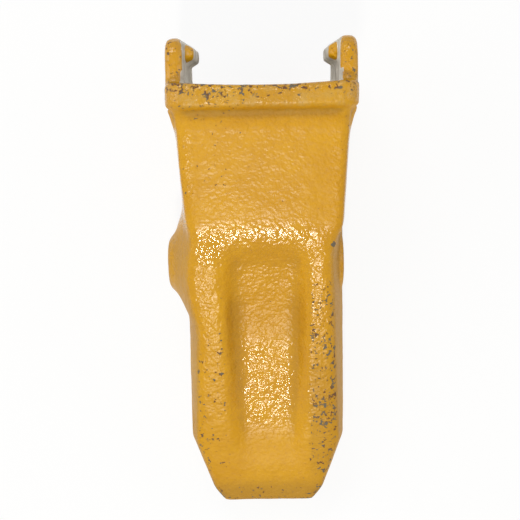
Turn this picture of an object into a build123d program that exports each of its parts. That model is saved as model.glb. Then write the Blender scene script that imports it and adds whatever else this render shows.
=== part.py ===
from build123d import *
from math import asin, atan2, cos, degrees, hypot, radians, tan
import os

# Tooth of an excavator bucket: one steel casting held by a side pin, in millimetres.
# It is drawn about its pin: X runs along the pin, Y runs back to the ears, and the
# XY plane halves the socket. The last step lays the tooth down on its underside.

# Collar round the mouth of the socket
collar_width = 108.0
collar_height = 102.0
collar_length = 15.5
collar_corner_radius = 12.0
collar_edge_radius = 3.0
collar_top_lip = 4.5
collar_side_lip = 0.3
pin_to_rim = 108.0
rim_hollow = 2.5

# Rounding of the cast edges of the body and the blade
casting_edge_radius = 4.0

# Socket body, between the collar and the shoulder, narrower on each side at its front
body_narrowing = 4.7
body_draft = 6.0

# Shoulder, where the body narrows into the blade
shoulder_from_pin = 25.0
shoulder_length = 26.0
shoulder_inset = 10.0
shoulder_drop = 5.5
shoulder_radius = 40.0

# Blade and tip, measured forward from the pin
blade_side_step = 1.0
blade_draft = 13.0
blade_crown = 3.0
corner_from_pin = 111.0
nose_from_pin = 135.0
nose_rise = 14.5
tip_from_pin = 153.0
tip_narrowing = 15.5
tip_corner_length = 8.0
tip_corner_inset = 3.0
tip_thickness = 18.0

# Channel between the two ribs on top of the blade
channel_width = 38.0
channel_draft = 25.0
channel_depth = 10.0
channel_scoop_from_pin = 3.0
channel_scoop_radius = 50.0
channel_scoop_turn = 40.0
channel_end_from_pin = 124.0
channel_root_radius = 7.0

# Socket for the nose of the adapter
socket_wall = 6.5
socket_side_narrowing = 7.7
socket_end_height = 30.0
socket_depth = 135.0
socket_corner_radius = 8.0
socket_end_radius = 5.0

# Pin hole, the boss that stands round its left end and the pad round its right end
pin_hole_diameter = 23.0
boss_reach = 58.5
boss_end_diameter = 24.5
boss_edge_radius = 6.0
boss_slope = 50.0
boss_flare_radius = 18.0
boss_foot_slope = 25.0
boss_foot_inset = 9.0
pad_reach = 47.5
pad_diameter = 36.0
pad_edge_radius = 1.5

# Ears behind the collar, with a lug on the inner face of each
ear_length = 24.5
ear_setback = 13.0
ear_thickness = 10.3
ear_corner_radius = 12.0
ear_edge_radius = 4.0
lug_length = 13.0
lug_setback = 13.0
lug_reach = 5.5
lug_draft = 30.0

# Places along Y that several features share
rim_y = pin_to_rim
ear_end_y = rim_y + ear_length
collar_front_y = rim_y - collar_length
body_rear_y = collar_front_y + collar_edge_radius
neck_y = shoulder_from_pin - shoulder_length
nose_y = -nose_from_pin
tip_y = -tip_from_pin
scoop_y = -channel_scoop_from_pin
channel_end_y = -channel_end_from_pin

# Sizes that follow from the driving ones
body_rear_width = collar_width - 2 * collar_side_lip
body_rear_height = collar_height - 2 * collar_top_lip
body_front_width = body_rear_width - 2 * body_narrowing
blade_width = body_front_width - 2 * blade_side_step
tip_width = blade_width - 2 * tip_narrowing
shoulder_rise = body_rear_height / 2 - shoulder_drop
hollow_end_x = collar_width / 2 + rim_hollow
ear_inner_x = collar_width / 2 - ear_thickness
ear_height = collar_height - 2 * ear_setback
lug_height = ear_height - 2 * lug_setback
socket_mouth_width = 2 * ear_inner_x
socket_mouth_height = body_rear_height - 2 * socket_wall
socket_end_width = socket_mouth_width - 2 * socket_side_narrowing
tip_slant = (blade_width - tip_width) / 2 / (tip_from_pin - corner_from_pin)
tip_corner_slant = tip_slant + tip_corner_inset / tip_corner_length
tip_end_x = tip_width / 2 - tip_corner_inset
underside_angle = atan2((body_rear_height - tip_thickness) / 2, rim_y - tip_y)
trough_height = channel_scoop_radius / 2
trough_spread = trough_height * tan(radians(channel_draft))


def rib_height(y):
    """Height above the middle plane of the straight line from the shoulder to the nose."""
    share = (shoulder_from_pin - y) / (shoulder_from_pin - nose_y)
    return shoulder_rise + share * (nose_rise - shoulder_rise)


def underside_height(y):
    """Height of the flat underside, which is below the middle plane."""
    return -tip_thickness / 2 - (y - tip_y) * tan(underside_angle)


with BuildPart() as casting:
    # Socket body in plan, drawn in the middle plane and drafted upwards
    with BuildSketch(Plane.XY):
        with BuildLine():
            Polyline(
                (0, neck_y),
                (body_front_width / 2 - shoulder_inset, neck_y),
                (body_front_width / 2, shoulder_from_pin),
                (body_rear_width / 2, body_rear_y),
                (0, body_rear_y),
            )
            mirror(about=Plane.YZ)
        make_face()
    extrude(amount=collar_height / 2, taper=body_draft)

    # Blade in plan, with its sides cut back in two slants to the tip and run on past it
    with BuildSketch(Plane.XY):
        with BuildLine():
            Polyline(
                (0, tip_y - tip_thickness),
                (tip_end_x - tip_corner_slant * tip_thickness, tip_y - tip_thickness),
                (tip_end_x + tip_corner_slant * tip_corner_length, tip_y + tip_corner_length),
                (blade_width / 2, -corner_from_pin),
                (blade_width / 2, shoulder_from_pin),
                (0, shoulder_from_pin),
            )
            mirror(about=Plane.YZ)
        make_face()
    extrude(amount=collar_height / 2, taper=blade_draft)
    mirror(about=Plane.XY)

    # Side outline: a flat underside, and a top that breaks at the shoulder and at the nose
    blade_middle_y = (shoulder_from_pin + nose_y) / 2
    with BuildSketch(Plane.YZ.offset(-collar_width)) as side:
        with BuildLine():
            Polyline(
                (nose_y, nose_rise),
                (tip_y, tip_thickness / 2),
                (tip_y, underside_height(tip_y)),
                (rim_y, underside_height(rim_y)),
                (rim_y, body_rear_height / 2),
                (shoulder_from_pin, shoulder_rise),
            )
            ThreePointArc(
                (shoulder_from_pin, shoulder_rise),
                (blade_middle_y, rib_height(blade_middle_y) + blade_crown),
                (nose_y, nose_rise),
            )
        make_face()
        top_corners = side.vertices().sort_by(Axis.Y)[-2:]
        fillet(top_corners.sort_by(Axis.X)[0], radius=shoulder_radius)
    extrude(amount=2 * collar_width, mode=Mode.INTERSECT)

    # Rounded edges of the cast skin, but not on the parting line or inside the collar
    open_edges = casting.edges().filter_by_position(Axis.Y, tip_y, collar_front_y)
    parting_edges = casting.edges().filter_by_position(Axis.Z, 0, 0)
    fillet(open_edges - parting_edges, radius=casting_edge_radius)


# Boss round the pin hole, a bell turned about the pin whose flare runs out into the side,
# and the low pad at the other end of the hole
with BuildPart() as boss:
    with BuildSketch(Plane.XY):
        with BuildLine():
            end_face = Line((-boss_reach, 0), (-boss_reach, boss_end_diameter / 2))
            edge = JernArc(end_face @ 1, (0, 1), boss_edge_radius, -boss_slope)
            flare = JernArc(edge @ 1, edge % 1, boss_flare_radius, boss_slope - boss_foot_slope)
            foot_depth = boss_foot_inset - blade_width / 2 - (flare @ 1).X
            foot = Line(flare @ 1, (flare @ 1) + (foot_depth, foot_depth / tan(radians(boss_foot_slope))))
            Polyline(foot @ 1, ((foot @ 1).X, 0), (-boss_reach, 0))
        make_face()
    revolve(axis=Axis.X)
    with BuildSketch(Plane.YZ):
        Circle(pad_diameter / 2)
    extrude(amount=pad_reach)
    fillet(boss.faces().sort_by(Axis.X)[-1].edges(), radius=pad_edge_radius)
    extrude(side.sketch, amount=2 * collar_width, dir=(1, 0, 0), mode=Mode.INTERSECT)

# Collar, with its rear rim hollowed as seen from above
with BuildPart() as collar:
    with BuildSketch(Plane.XZ.offset(-rim_y)):
        RectangleRounded(collar_width, collar_height, collar_corner_radius)
    extrude(amount=collar_length)
    with BuildSketch(Plane.XY.offset(-collar_height)):
        with BuildLine():
            ThreePointArc((-hollow_end_x, rim_y), (0, rim_y - rim_hollow), (hollow_end_x, rim_y))
            Line((hollow_end_x, rim_y), (-hollow_end_x, rim_y))
        make_face()
    extrude(amount=2 * collar_height, mode=Mode.SUBTRACT)
    fillet(collar.faces().sort_by(Axis.Y)[0].edges(), radius=collar_edge_radius)
    fillet(collar.faces().sort_by(Axis.Y)[-1].edges(), radius=collar_edge_radius)

# Right ear, with the lug on its inner face
with BuildPart() as ear:
    with BuildSketch(Plane.YZ.offset(ear_inner_x)) as outline:
        with Locations(((collar_front_y + ear_end_y) / 2, 0)):
            Rectangle(ear_end_y - collar_front_y, ear_height)
        fillet(outline.vertices().group_by(Axis.X)[-1], radius=ear_corner_radius)
    extrude(amount=ear_thickness)
    free_edges = ear.edges().filter_by_position(Axis.Y, collar_front_y, ear_end_y, inclusive=(False, True))
    fillet(free_edges, radius=ear_edge_radius)
    with BuildSketch(Plane(origin=(ear_inner_x, 0, 0), x_dir=(0, 1, 0), z_dir=(-1, 0, 0))):
        with Locations((ear_end_y - lug_length / 2 - ear_edge_radius / 2, 0)):
            SlotOverall(lug_height, lug_length, rotation=90)
    extrude(amount=lug_reach, taper=lug_draft)

# Trough that forms the channel between the ribs, swept along its bed and up into the shoulder
with BuildPart() as trough:
    with BuildLine(Plane.YZ) as bed:
        level = Line(
            (channel_end_y, rib_height(channel_end_y)),
            (scoop_y, rib_height(scoop_y) - channel_depth),
        )
        JernArc(level @ 1, level % 1, channel_scoop_radius, channel_scoop_turn)
    with BuildSketch(Plane(origin=level @ 0, x_dir=(-1, 0, 0), z_dir=level % 0)) as section:
        with BuildLine():
            Polyline(
                (-channel_width / 2, 0),
                (channel_width / 2, 0),
                (channel_width / 2 + trough_spread, trough_height),
                (-channel_width / 2 - trough_spread, trough_height),
                close=True,
            )
        make_face()
        fillet(section.vertices().group_by(Axis.Y)[0], radius=channel_root_radius)
    sweep()

# Wedge of the adapter's nose that the socket takes
with BuildPart() as socket:
    with BuildSketch(Plane.XZ.offset(-rim_y)):
        RectangleRounded(socket_mouth_width, socket_mouth_height, socket_corner_radius)
    with BuildSketch(Plane.XZ.offset(socket_depth - rim_y)):
        RectangleRounded(socket_end_width, socket_end_height, socket_corner_radius)
    loft()
    fillet(socket.faces().sort_by(Axis.Y)[0].edges(), radius=socket_end_radius)

# Finished casting
with BuildPart() as finished:
    add(casting.part)
    add(boss.part)
    add(collar.part)
    add(ear.part)
    add(mirror(ear.part, about=Plane.YZ, mode=Mode.PRIVATE))
    add(trough.part, mode=Mode.SUBTRACT)
    add(socket.part, mode=Mode.SUBTRACT)
    with BuildSketch(Plane.YZ.offset(-collar_width)):
        Circle(pin_hole_diameter / 2)
    extrude(amount=2 * collar_width, mode=Mode.SUBTRACT)

# Tooth laid on two rounded edges: the lower front edge of the collar and the lower edge of the tip
collar_round_y = collar_front_y + collar_edge_radius
collar_round_z = collar_edge_radius - collar_height / 2
tip_round_y = tip_y + casting_edge_radius
tip_round_z = underside_height(tip_round_y) + casting_edge_radius / cos(underside_angle)
rounds_apart = hypot(collar_round_y - tip_round_y, collar_round_z - tip_round_z)
rounds_slope = atan2(tip_round_z - collar_round_z, collar_round_y - tip_round_y)
lay_angle = degrees(rounds_slope - asin((casting_edge_radius - collar_edge_radius) / rounds_apart))
with BuildPart() as laid:
    add(finished.part, rotation=(lay_angle, 0, 0))

# Origin under the middle of the tooth, at ground level
laid_box = laid.part.bounding_box()
with BuildPart() as bucket_tooth:
    with Locations((-laid_box.center().X, -laid_box.center().Y, -laid_box.min.Z)):
        add(laid.part)

os.makedirs("parts", exist_ok=True)
bucket_tooth.part.label = "bucket_tooth"
export_step(bucket_tooth.part, "parts/bucket_tooth.step")
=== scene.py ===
import math

import bpy
import numpy as np
from mathutils import Matrix, Vector, noise


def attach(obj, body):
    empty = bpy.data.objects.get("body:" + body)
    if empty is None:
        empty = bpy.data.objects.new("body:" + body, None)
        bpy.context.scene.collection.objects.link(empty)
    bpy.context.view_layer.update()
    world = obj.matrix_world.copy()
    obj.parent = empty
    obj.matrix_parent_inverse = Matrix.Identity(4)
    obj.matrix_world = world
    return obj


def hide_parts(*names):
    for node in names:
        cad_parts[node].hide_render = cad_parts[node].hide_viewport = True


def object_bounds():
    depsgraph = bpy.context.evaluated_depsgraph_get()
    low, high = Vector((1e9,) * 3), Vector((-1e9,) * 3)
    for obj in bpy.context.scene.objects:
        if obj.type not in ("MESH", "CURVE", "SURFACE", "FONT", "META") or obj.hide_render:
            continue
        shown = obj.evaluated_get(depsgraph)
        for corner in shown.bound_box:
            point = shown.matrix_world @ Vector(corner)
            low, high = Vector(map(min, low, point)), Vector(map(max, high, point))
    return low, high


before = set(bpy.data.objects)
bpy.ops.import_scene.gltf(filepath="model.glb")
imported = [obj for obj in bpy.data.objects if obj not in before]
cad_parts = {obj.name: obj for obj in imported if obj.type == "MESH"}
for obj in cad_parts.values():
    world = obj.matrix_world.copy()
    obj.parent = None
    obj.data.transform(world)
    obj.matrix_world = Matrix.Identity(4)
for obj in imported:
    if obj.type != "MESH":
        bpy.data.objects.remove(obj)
cad_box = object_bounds()

# The tooth's own frame, in millimetres: the pin is its origin and the middle plane leans by the lay angle
PIN = np.array([2.25, 8.381, 34.362])
LAY = math.radians(9.62233)
BACK = np.array([0.0, math.cos(LAY), math.sin(LAY)])
UP = np.array([0.0, -math.sin(LAY), math.cos(LAY)])

# Places along the tooth, from the pin, and half sizes
RIM = 108.0
COLLAR_FRONT = 92.5
SHOULDER = 25.0
TIP = -153.0
COLLAR_X = 54.0
EAR_INNER_X = 43.7

# The blade's top at its nose and its shoulder: places along the tooth and half heights
BLADE_Y = (-135.0, SHOULDER)
BLADE_TOP = (14.5, 41.0)

# The socket: where it ends, its half sizes there and at the mouth, and how far past its walls
# a vertex still counts as inside. The pin hole's reach is its radius and the same kind of margin.
SOCKET_END = -25.0
SOCKET_END_X = 36.0
SOCKET_END_Z = 15.0
SOCKET_MOUTH_Z = 40.0
SOCKET_MARGIN = 1.6
PIN_HOLE_REACH = 12.4

# Cell of the remesh, and how far the skin stays inside the CAD box
VOXEL_M = 0.0014
BOX_MARGIN = 0.02

# How white the backdrop is to the rays that see it, and how strong the surround is as a light
FLOOR_WHITE = 0.88
SURROUND = 0.30

# The photograph's width and focal length in pixels, and the width of the camera's sensor
PHOTO_PIXELS = 520.0
FOCAL_PIXELS = 894.8
SENSOR = 36.0


def local(points):
    """Coordinates in the tooth's own frame, from the row's millimetres."""
    away = points - PIN
    return np.stack([away[:, 0], away @ BACK, away @ UP], axis=1)


def step(low, high, value):
    """Smooth step from 0 at low to 1 at high."""
    share = np.clip((value - low) / (high - low), 0.0, 1.0)
    return share * share * (3.0 - 2.0 * share)


def band(low, high, soft, value):
    """1 between low and high, falling to 0 over soft on both sides."""
    return step(low - soft, low, value) * (1.0 - step(high, high + soft, value))


def noise_at(points, size, offset=0.0):
    """Smooth noise with features of the given size in millimetres, about -1 to 1."""
    shifted = points / size + offset
    return np.array([noise.noise(Vector(point)) for point in shifted])


# Skin of the casting: the CAD form, remeshed finely enough for the blends and the rough cast surface

def cast_skin(source):
    """The casting as a fine closed mesh, cut from a copy of the CAD node."""
    mesh = source.data.copy()
    skin = bpy.data.objects.new("cast_tooth", mesh)
    bpy.context.scene.collection.objects.link(skin)
    weld = skin.modifiers.new("weld", "WELD")
    weld.merge_threshold = 0.00001
    remesh = skin.modifiers.new("remesh", "REMESH")
    remesh.mode = "VOXEL"
    remesh.voxel_size = VOXEL_M
    remesh.use_smooth_shade = True
    graph = bpy.context.evaluated_depsgraph_get()
    fine = bpy.data.meshes.new_from_object(skin.evaluated_get(graph))
    skin.modifiers.clear()
    skin.data = fine
    return skin


def mesh_arrays(mesh):
    """Vertex places in millimetres and the vertex pairs of the edges."""
    points = np.empty(len(mesh.vertices) * 3)
    mesh.vertices.foreach_get("co", points)
    pairs = np.empty(len(mesh.edges) * 2, dtype=np.int64)
    mesh.edges.foreach_get("vertices", pairs)
    return points.reshape(-1, 3) * 1000.0, pairs.reshape(-1, 2)


def relax(points, pairs, weight, rounds):
    """Moves each vertex towards the middle of its neighbours, by its own weight."""
    count = np.bincount(pairs.ravel(), minlength=len(points))[:, None]
    for _ in range(rounds):
        total = np.zeros_like(points)
        for axis in range(3):
            total[:, axis] = np.bincount(pairs[:, 0], points[pairs[:, 1], axis], len(points))
            total[:, axis] += np.bincount(pairs[:, 1], points[pairs[:, 0], axis], len(points))
        points = points + weight[:, None] * (total / count - points)
    return points


def write_points(mesh, points):
    mesh.vertices.foreach_set("co", (points / 1000.0).ravel())
    mesh.update()


def normals_of(mesh):
    normals = np.empty(len(mesh.vertices) * 3)
    mesh.vertices.foreach_get("normal", normals)
    return normals.reshape(-1, 3)


skin = cast_skin(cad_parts["bucket_tooth"])
points, pairs = mesh_arrays(skin.data)
own = local(points)
side = np.abs(own[:, 0])

# Soft blends: at the ribs, round the boss and at the foot of the collar, and a light one all over
ribs = band(-135.0, 24.0, 8.0, own[:, 1]) * step(0.0, 8.0, own[:, 2]) * (1.0 - step(40.0, 46.0, side))
reach = np.hypot(own[:, 1], own[:, 2])
boss = (1.0 - step(52.0, 66.0, reach)) * step(36.0, 42.0, -own[:, 0]) * step(16.0, 22.0, reach)
foot = band(COLLAR_FRONT - 8.0, COLLAR_FRONT - 1.0, 3.0, own[:, 1])
weight = 0.5 * np.clip(ribs + boss + 0.45 * foot, 0.0, 1.0)

# The boss runs out to the rear in a wider blend, which the smoothing below softens
swell = 2.8 * band(20.0, 25.0, 12.0, own[:, 1]) * (1.0 - step(12.0, 28.0, np.abs(own[:, 2])))
points[:, 0] -= swell * step(40.0, 46.0, -own[:, 0]) * (1.0 - step(46.0, 57.5, -own[:, 0]))
points = relax(points, pairs, np.full(len(points), 0.4), 2)
points = relax(points, pairs, weight, 24)
head = band(-14.0, 18.0, 8.0, own[:, 1]) * step(18.0, 24.0, own[:, 2]) * (1.0 - step(26.0, 34.0, side))
points = relax(points, pairs, 0.5 * head, 16)

# The top of the blade is nearly straight from the shoulder to the nose
run = (own[:, 1] + 55.0) / 80.0
sink = 1.2 * np.clip(1.0 - run * run, 0.0, 1.0) / np.interp(own[:, 1], BLADE_Y, BLADE_TOP)
points -= (sink * np.clip(own[:, 2], 0.0, None))[:, None] * UP

# The channel deepens slowly from the shoulder
own = local(points)
line = np.interp(own[:, 1], (*BLADE_Y, 92.0), (*BLADE_TOP, 46.5))
sunk = 0.35 * (1.0 - step(2.0, 22.0, own[:, 1])) + 0.65 * (1.0 - step(-40.0, 18.0, own[:, 1]))
reached = 1.0 - step(34.0, 46.0, own[:, 1])
depth = np.clip(line - own[:, 2], 0.0, None) * (own[:, 2] > line - 13.0) * reached
points += (depth * (1.0 - sunk) * (np.abs(own[:, 0]) < 27.0))[:, None] * UP
own = local(points)

# The flanks flare out to the collar in a hollow curve
flare = 2.6 * step(COLLAR_FRONT - 24.0, COLLAR_FRONT, own[:, 1]) ** 2 * (own[:, 1] < COLLAR_FRONT)
outer = step(EAR_INNER_X - 1.5, EAR_INNER_X + 1.5, np.abs(own[:, 0]))
corner = 1.0 - step(30.0, 38.0, np.abs(own[:, 2]))
flare = np.clip(flare * outer * corner, 0.0, np.clip(COLLAR_X - 0.6 - np.abs(own[:, 0]), 0.0, None))
points[:, 0] += np.sign(own[:, 0]) * flare

# The top of the collar rolls over towards its rear edge
roll = 1.6 * step(COLLAR_FRONT + 3.0, RIM + 1.0, own[:, 1]) * step(36.0, 46.0, own[:, 2])
points -= roll[:, None] * UP * (np.abs(own[:, 0]) < EAR_INNER_X - 1.0)[:, None]
write_points(skin.data, points)

# Rough cast surface: low lumps over the skin, and a flatter one inside the socket
normals = normals_of(skin.data)
own = local(points)
along = np.clip((own[:, 1] - SOCKET_END) / (RIM - SOCKET_END), 0.0, 1.0)
inner_x = SOCKET_END_X + (EAR_INNER_X - SOCKET_END_X) * along + SOCKET_MARGIN
inner_z = SOCKET_END_Z + (SOCKET_MOUTH_Z - SOCKET_END_Z) * along + SOCKET_MARGIN
inside = (np.abs(own[:, 0]) < inner_x) & (np.abs(own[:, 2]) < inner_z) & (own[:, 1] > SOCKET_END - 2.0)
hole = np.hypot(own[:, 1], own[:, 2]) < PIN_HOLE_REACH
lumps = 0.08 * noise_at(points, 4.0) + 0.05 * noise_at(points, 2.4, 7.3) + 0.20 * noise_at(points, 16.0, 3.1)
amount = np.where(hole, 0.15, np.where(inside, 0.8, 1.0))
points = points + normals * (lumps * amount)[:, None]

# The skin stays inside the CAD box
low = np.array(cad_box[0]) * 1000.0
high = np.array(cad_box[1]) * 1000.0
points = np.clip(points, low + BOX_MARGIN, high - BOX_MARGIN)
write_points(skin.data, points)

# Where the paint is off, rubbed or dusty, and where shade or a reflection is painted in, as one value a
# vertex
own = local(points)
normals = normals_of(skin.data)
inward = -normals[:, 0] * np.sign(own[:, 0])
upward = normals @ UP
# The ears' inner faces: bare steel whose pale colour also stands in for the white surround's reflection
ear_face = step(0.80, 0.96, inward) * step(RIM - 4.0, RIM, own[:, 1])
ear_face = ear_face * (np.abs(own[:, 0]) > EAR_INNER_X - 6.5)
bare = np.clip(ear_face * (1.0 - step(0.25, 0.5, upward)) + inside, 0.0, 1.0)
lug = step(13.0, 19.0, own[:, 2]) * step(0.25, 0.5, upward) * (own[:, 1] > RIM + 6.0)
bare = np.where(hole, 0.7, bare * (1.0 - lug))

# Hollows and edges, from how far the skin stands off a smoothed copy of itself
stand = np.sum((points - relax(points, pairs, np.full(len(points), 0.5), 40)) * normals, axis=1)
hollow = step(0.10, 0.70, -stand)
edge_wear = step(0.35, 1.10, stand)

right = own[:, 0]
rib_right = band(28.0, 40.0, 4.0, right) * band(-130.0, -12.0, 10.0, own[:, 1]) * step(0.2, 0.6, upward)
rib_left = band(-40.0, -26.0, 4.0, right) * band(-130.0, -45.0, 14.0, own[:, 1])
rib_left = rib_left * step(0.2, 0.6, upward) * 0.6
rear_edge = band(RIM - 9.0, RIM + 1.0, 3.0, own[:, 1]) * step(30.0, 36.0, own[:, 2]) * 0.65
tip_edge = (1.0 - step(TIP + 6.0, TIP + 18.0, own[:, 1])) * 0.7
ragged = 3.0 * noise_at(points, 7.0, 5.7)
corners = step(25.0, 33.0, np.abs(own[:, 0]) + ragged)
corners = corners * (1.0 - step(TIP + 1.0, TIP + 13.0, own[:, 1] + ragged))
side_spots = band(-46.0, -12.0, 6.0, right) * band(45.0, 92.0, 10.0, own[:, 1]) * 0.35
# A casting pit, painted dark metal in place of the shade inside it
pit_shade = 1.0 - step(1.0, 2.4, np.hypot(own[:, 0] - 39.4, own[:, 1] - 15.0) + 40.0 * (own[:, 2] < 20.0))
ear_spots = 0.4 * step(RIM - 2.0, RIM + 3.0, own[:, 1]) * step(0.4, 0.8, upward)
chips_and_pit_shade = ear_spots + rib_right + rib_left + rear_edge + tip_edge + side_spots
chips_and_pit_shade = np.clip(chips_and_pit_shade + 1.9 * corners + 3.0 * pit_shade + 0.35 * edge_wear, 0.0, 3.0)
dust = band(COLLAR_FRONT, RIM + 2.0, 3.0, own[:, 1]) * step(0.3, 0.8, upward) * 0.5
flank = step(0.55, 0.9, np.abs(normals[:, 0])) * (1.0 - step(18.0, 30.0, own[:, 1])) * (own[:, 2] > -30.0)
dust = np.clip(dust + 0.15 * flank + ear_face, 0.0, 1.0)
# Darker at the nose, on the lower right rib and at the worn corners; painted shade on the flanks and in the
# hollows
grime_and_shade = (1.0 - step(-146.0, -132.0, own[:, 1])) * 0.9
grime_and_shade = grime_and_shade + 0.45 * rib_right * (1.0 - step(-80.0, -30.0, own[:, 1]))
grime_and_shade = grime_and_shade + 0.9 * corners + 0.45 * flank + 0.8 * hollow

# Where the skin is smoother: the middle of the body's top and the front of the blade
smooth = band(24.0, 76.0, 12.0, own[:, 1]) * band(-36.0, 34.0, 6.0, right) * step(0.5, 0.9, upward)
smooth = np.maximum(smooth, (1.0 - step(-122.0, -84.0, own[:, 1])) * step(0.4, 0.8, upward) * 0.85)

# Where the paint is dull: the collar's foot, the body's edges, the flanks and most of the blade
edges = band(30.0, 88.0, 8.0, own[:, 1]) * band(0.5, 0.95, 0.08, upward) * step(34.0, 38.0, np.abs(right))
matt = band(COLLAR_FRONT - 9.0, COLLAR_FRONT + 1.5, 2.5, own[:, 1]) + edges
matt += (1.0 - step(-118.0, -88.0, own[:, 1])) * 0.9
matt += (0.40 * rib_right + 0.35 * rib_left) * (1.0 - step(-70.0, -20.0, own[:, 1]))
matt += 0.30 * step(20.0, 30.0, right) + 0.8 * flank
matt += 0.40 * band(-42.0, -20.0, 4.0, right) * band(-130.0, 0.0, 10.0, own[:, 1])
matt += 0.55 * band(34.0, 80.0, 12.0, own[:, 1]) * band(-36.0, 34.0, 6.0, right)
matt += 0.10 * band(-20.0, 20.0, 6.0, right) * band(-110.0, -20.0, 12.0, own[:, 1])
matt += 0.45 * band(-22.0, 22.0, 5.0, right) * band(-38.0, 8.0, 14.0, own[:, 1])
matt = np.clip(matt, 0.0, 1.0)
masks = {"bare": bare, "chips_and_pit_shade": chips_and_pit_shade, "dust": dust, "grime_and_shade": grime_and_shade, "smooth": smooth, "matt": matt}
for name, values in masks.items():
    layer = skin.data.attributes.new(name, "FLOAT", "POINT")
    layer.data.foreach_set("value", np.asarray(values, dtype=np.float32))


# Materials

def new_material(name):
    material = bpy.data.materials.new(name)
    material.use_nodes = True
    nodes = material.node_tree.nodes
    nodes.clear()
    return material, nodes, material.node_tree.links


def node(nodes, kind, **settings):
    made = nodes.new(kind)
    for key, value in settings.items():
        setattr(made, key, value)
    return made


def noise_node(nodes, links, coords, scale, detail=2.0, roughness=0.5, distortion=0.0):
    made = node(nodes, "ShaderNodeTexNoise")
    made.inputs["Scale"].default_value = scale
    made.inputs["Detail"].default_value = detail
    made.inputs["Roughness"].default_value = roughness
    made.inputs["Distortion"].default_value = distortion
    links.new(coords, made.inputs["Vector"])
    return made


def ramp(nodes, links, value, low, high):
    """Smooth step from 0 at low to 1 at high, as a node."""
    made = node(nodes, "ShaderNodeMapRange", interpolation_type="SMOOTHSTEP")
    made.inputs["From Min"].default_value = low
    made.inputs["From Max"].default_value = high
    made.inputs["To Min"].default_value = 0.0
    made.inputs["To Max"].default_value = 1.0
    links.new(value, made.inputs["Value"])
    return made.outputs["Result"]


def math_node(nodes, links, operation, first, second):
    made = node(nodes, "ShaderNodeMath", operation=operation)
    for socket, value in zip(made.inputs, (first, second)):
        if isinstance(value, (int, float)):
            socket.default_value = value
        else:
            links.new(value, socket)
    return made.outputs[0]


def mix_colour(nodes, links, factor, first, second):
    made = node(nodes, "ShaderNodeMix", data_type="RGBA")
    for socket, value in ((made.inputs["Factor"], factor), (made.inputs[6], first), (made.inputs[7], second)):
        if isinstance(value, (int, float)):
            socket.default_value = value
        elif isinstance(value, tuple):
            socket.default_value = (*value, 1.0)
        else:
            links.new(value, socket)
    return made.outputs[2]


def mix_value(nodes, links, factor, first, second):
    made = node(nodes, "ShaderNodeMix", data_type="FLOAT")
    for socket, value in ((made.inputs["Factor"], factor), (made.inputs[2], first), (made.inputs[3], second)):
        if isinstance(value, (int, float)):
            socket.default_value = value
        else:
            links.new(value, socket)
    return made.outputs[0]


def backdrop_rays(nodes, links):
    """1 for the rays that see the white backdrop: camera, glossy and transmission rays."""
    path = node(nodes, "ShaderNodeLightPath")
    seen = math_node(nodes, links, "MAXIMUM", path.outputs["Is Camera Ray"], path.outputs["Is Glossy Ray"])
    return math_node(nodes, links, "MAXIMUM", seen, path.outputs["Is Transmission Ray"])


def mix_shaders(nodes, links, factor, first, second):
    """Output of a mix of two shader nodes."""
    made = node(nodes, "ShaderNodeMixShader")
    links.new(factor, made.inputs["Fac"])
    links.new(first.outputs[0], made.inputs[1])
    links.new(second.outputs[0], made.inputs[2])
    return made.outputs[0]


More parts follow.
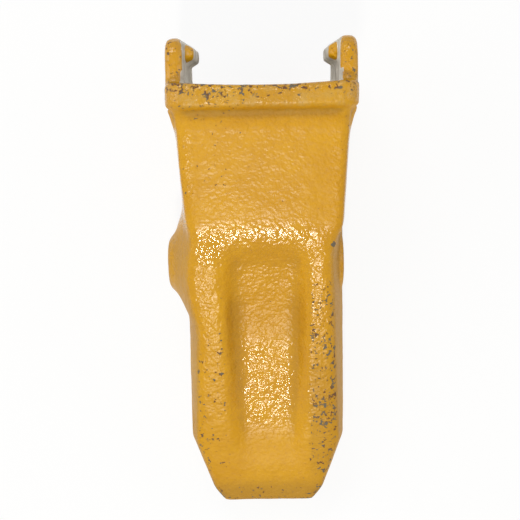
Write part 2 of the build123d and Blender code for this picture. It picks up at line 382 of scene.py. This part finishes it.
def paint_material():
    """Glossy orange-yellow paint over a rough casting, with chips, dust, bare metal, painted shade and a
    painted reflection by place.
    """
    material, nodes, links = new_material("yellow_paint_on_casting")
    coords = node(nodes, "ShaderNodeTexCoord").outputs["Object"]
    masks = {}
    for name in ("bare", "chips_and_pit_shade", "dust", "grime_and_shade", "smooth", "matt"):
        masks[name] = node(nodes, "ShaderNodeAttribute", attribute_name=name).outputs["Fac"]

    # Paint colour: patches a few centimetres wide, a browner film in spots, and dirt, painted shade and dust
    # by place
    patches = noise_node(nodes, links, coords, 28.0, 3.0, 0.55).outputs["Fac"]
    mottle = noise_node(nodes, links, coords, 420.0, 2.0, 0.6).outputs["Fac"]
    patches = ramp(nodes, links, patches, 0.3, 0.7)
    paint = mix_colour(nodes, links, patches, (0.585, 0.278, 0.002), (0.65, 0.325, 0.004))
    film = math_node(nodes, links, "MULTIPLY", ramp(nodes, links, mottle, 0.40, 0.72), 0.35)
    paint = mix_colour(nodes, links, film, paint, (0.52, 0.235, 0.014))
    # Darker where dirt lies, and painted shade in the hollows and on the flanks
    dirt_and_shade = math_node(nodes, links, "MULTIPLY", masks["grime_and_shade"], 0.55)
    paint = mix_colour(nodes, links, dirt_and_shade, paint, (0.30, 0.150, 0.016))
    haze = noise_node(nodes, links, coords, 140.0, 4.0, 0.65).outputs["Fac"]
    haze = math_node(nodes, links, "MULTIPLY", ramp(nodes, links, haze, 0.35, 0.75), masks["dust"])
    haze = math_node(nodes, links, "MULTIPLY", haze, 0.75)
    paint = mix_colour(nodes, links, haze, paint, (0.50, 0.36, 0.14))

    # Chips down to dark or rusty metal, dense where the mask says so, and the pit painted dark as its shade
    grain = noise_node(nodes, links, coords, 420.0, 3.0, 0.62, 0.4).outputs["Fac"]
    cover = noise_node(nodes, links, coords, 75.0, 2.0, 0.5).outputs["Fac"]
    cluster = math_node(nodes, links, "MULTIPLY", ramp(nodes, links, cover, 0.45, 0.65), masks["chips_and_pit_shade"])
    level = math_node(nodes, links, "MULTIPLY", masks["chips_and_pit_shade"], 0.12)
    level = math_node(nodes, links, "ADD", level, math_node(nodes, links, "MULTIPLY", cluster, 0.08))
    level = math_node(nodes, links, "ADD", level, 0.045)
    chipped_and_pit_shade = math_node(nodes, links, "ADD", grain, level)
    chipped_and_pit_shade = ramp(nodes, links, chipped_and_pit_shade, 0.775, 0.80)
    rust = ramp(nodes, links, noise_node(nodes, links, coords, 190.0, 2.0, 0.5).outputs["Fac"], 0.45, 0.6)
    metal = mix_colour(nodes, links, rust, (0.150, 0.125, 0.085), (0.150, 0.060, 0.022))

    # Bare faces: dull grey steel under pale dust, its pale end also a painted reflection of the white
    # surround on the ears' inner faces
    powder = ramp(nodes, links, noise_node(nodes, links, coords, 90.0, 4.0, 0.6).outputs["Fac"], 0.35, 0.7)
    bare_steel_and_reflection = mix_colour(nodes, links, powder, (0.50, 0.45, 0.37), (0.84, 0.80, 0.72))
    edge = noise_node(nodes, links, coords, 160.0, 3.0, 0.6).outputs["Fac"]
    uncovered = math_node(nodes, links, "ADD", masks["bare"], math_node(nodes, links, "MULTIPLY", edge, 0.7))
    uncovered = ramp(nodes, links, uncovered, 0.80, 0.92)

    colour = mix_colour(nodes, links, chipped_and_pit_shade, paint, metal)
    colour = mix_colour(nodes, links, uncovered, colour, bare_steel_and_reflection)

    gloss = noise_node(nodes, links, coords, 60.0, 3.0, 0.6).outputs["Fac"]
    rough = mix_value(nodes, links, ramp(nodes, links, gloss, 0.3, 0.7), 0.07, 0.15)
    rough = mix_value(nodes, links, haze, rough, 0.65)
    rough = mix_value(nodes, links, masks["matt"], rough, 0.55)
    rough = mix_value(nodes, links, math_node(nodes, links, "MAXIMUM", chipped_and_pit_shade, uncovered), rough, 0.72)

    # Orange peel of the cast skin in three sizes, and the rim of each chip
    peel = noise_node(nodes, links, coords, 540.0, 1.0, 0.4).outputs["Fac"]
    fine = noise_node(nodes, links, coords, 900.0, 2.0, 0.5).outputs["Fac"]
    height = math_node(nodes, links, "MULTIPLY", peel, 0.85)
    height = math_node(nodes, links, "ADD", height, math_node(nodes, links, "MULTIPLY", fine, 0.12))
    broad = noise_node(nodes, links, coords, 150.0, 2.0, 0.5).outputs["Fac"]
    height = math_node(nodes, links, "ADD", height, math_node(nodes, links, "MULTIPLY", broad, 1.7))
    height = math_node(nodes, links, "SUBTRACT", height, math_node(nodes, links, "MULTIPLY", chipped_and_pit_shade, 0.30))
    calm = math_node(nodes, links, "MULTIPLY", masks["smooth"], 0.35)
    calm = math_node(nodes, links, "SUBTRACT", 1.0, calm)
    height = math_node(nodes, links, "MULTIPLY", height, calm)
    bump = node(nodes, "ShaderNodeBump")
    bump.inputs["Strength"].default_value = 0.9
    bump.inputs["Distance"].default_value = 0.0006
    links.new(height, bump.inputs["Height"])

    shader = node(nodes, "ShaderNodeBsdfPrincipled")
    shader.inputs["Specular IOR Level"].default_value = 0.35
    links.new(colour, shader.inputs["Base Color"])
    links.new(rough, shader.inputs["Roughness"])
    links.new(bump.outputs["Normal"], shader.inputs["Normal"])
    output = node(nodes, "ShaderNodeOutputMaterial")
    links.new(shader.outputs["BSDF"], output.inputs["Surface"])
    return material


skin.data.materials.clear()
skin.data.materials.append(paint_material())
for polygon in skin.data.polygons:
    polygon.use_smooth = True
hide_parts("bucket_tooth")
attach(skin, "root")


# Floor

def floor_material():
    """Pale matt floor that reads as white to the camera and keeps the shadow."""
    material, nodes, links = new_material("pale_floor")
    coords = node(nodes, "ShaderNodeTexCoord").outputs["Object"]
    speckle = noise_node(nodes, links, coords, 6.0, 2.0).outputs["Fac"]
    colour = mix_colour(nodes, links, speckle, (0.90, 0.90, 0.90), (0.92, 0.92, 0.92))
    matt = node(nodes, "ShaderNodeBsdfDiffuse")
    links.new(colour, matt.inputs["Color"])
    white = node(nodes, "ShaderNodeEmission")
    white.inputs["Strength"].default_value = 1.0
    seen = math_node(nodes, links, "MULTIPLY", backdrop_rays(nodes, links), FLOOR_WHITE)
    output = node(nodes, "ShaderNodeOutputMaterial")
    links.new(mix_shaders(nodes, links, seen, matt, white), output.inputs["Surface"])
    return material


floor_mesh = bpy.data.meshes.new("floor")
floor_mesh.from_pydata([(-3, -3, 0), (3, -3, 0), (3, 3, 0), (-3, 3, 0)], [], [(0, 1, 2, 3)])
floor = bpy.data.objects.new("floor", floor_mesh)
bpy.context.scene.collection.objects.link(floor)
floor_mesh.materials.append(floor_material())


# Light: a small warm lamp on the tip's side that makes the glints, a weak one overhead,
# soft ones from the rear and both sides, and a pale surround

def area_light(name, place, target, width, height, power, colour=(1.0, 1.0, 1.0)):
    """Adds a rectangular lamp that faces the target."""
    lamp = bpy.data.lights.new(name, "AREA")
    lamp.shape = "RECTANGLE"
    lamp.size = width
    lamp.size_y = height
    lamp.energy = power
    lamp.color = colour
    lit = bpy.data.objects.new(name, lamp)
    lit.location = place
    lit.rotation_euler = (Vector(target) - Vector(place)).to_track_quat("-Z", "Y").to_euler()
    bpy.context.scene.collection.objects.link(lit)


area_light("front", (-0.08, -0.64, 1.00), (0.0, 0.0, 0.03), 0.11, 0.075, 6.1, (1.0, 0.98, 0.84))
area_light("top", (-0.05, -0.04, 1.05), (0.0, 0.10, 0.08), 0.05, 0.03, 0.5, (1.0, 0.98, 0.92))
area_light("rear", (-0.25, 0.75, 0.75), (0.0, 0.05, 0.03), 0.50, 0.30, 3.2)
area_light("side", (-0.85, 0.10, 0.60), (0.0, 0.0, 0.03), 0.50, 0.50, 1.8)
area_light("fill", (0.85, 0.15, 0.45), (0.0, 0.0, 0.03), 0.50, 0.40, 1.4)

world = bpy.data.worlds.new("surround")
world.use_nodes = True
bpy.context.scene.world = world
sky_nodes, sky_links = world.node_tree.nodes, world.node_tree.links
sky_nodes.clear()
dim = node(sky_nodes, "ShaderNodeBackground")
dim.inputs["Strength"].default_value = SURROUND
bright = node(sky_nodes, "ShaderNodeBackground")
bright.inputs["Strength"].default_value = 1.0
for glow in (dim, bright):
    glow.inputs["Color"].default_value = (1.0, 1.0, 1.0, 1.0)
sky = mix_shaders(sky_nodes, sky_links, backdrop_rays(sky_nodes, sky_links), dim, bright)
sky_links.new(sky, node(sky_nodes, "ShaderNodeOutputWorld").inputs["Surface"])


# Camera straight above, with the lean and roll that the photograph shows

def turn(tilt_x, tilt_y, roll):
    """Rotation of a camera that looks down, from its lean about X and Y and its roll, in degrees."""
    about_x = Matrix.Rotation(math.radians(tilt_x), 3, "X")
    about_y = Matrix.Rotation(math.radians(tilt_y), 3, "Y")
    about_z = Matrix.Rotation(math.radians(roll), 3, "Z")
    return (about_z @ about_y @ about_x).transposed()


camera_data = bpy.data.cameras.new("camera")
camera_data.sensor_width = SENSOR
camera_data.lens = SENSOR * FOCAL_PIXELS / PHOTO_PIXELS
camera = bpy.data.objects.new("camera", camera_data)
camera.matrix_world = Matrix.Translation((0.00215, 0.00754, 0.58633)) @ turn(-0.136, -0.296, 1.026).to_4x4()
bpy.context.scene.collection.objects.link(camera)
bpy.context.scene.camera = camera

bpy.context.scene.view_settings.view_transform = "Standard"
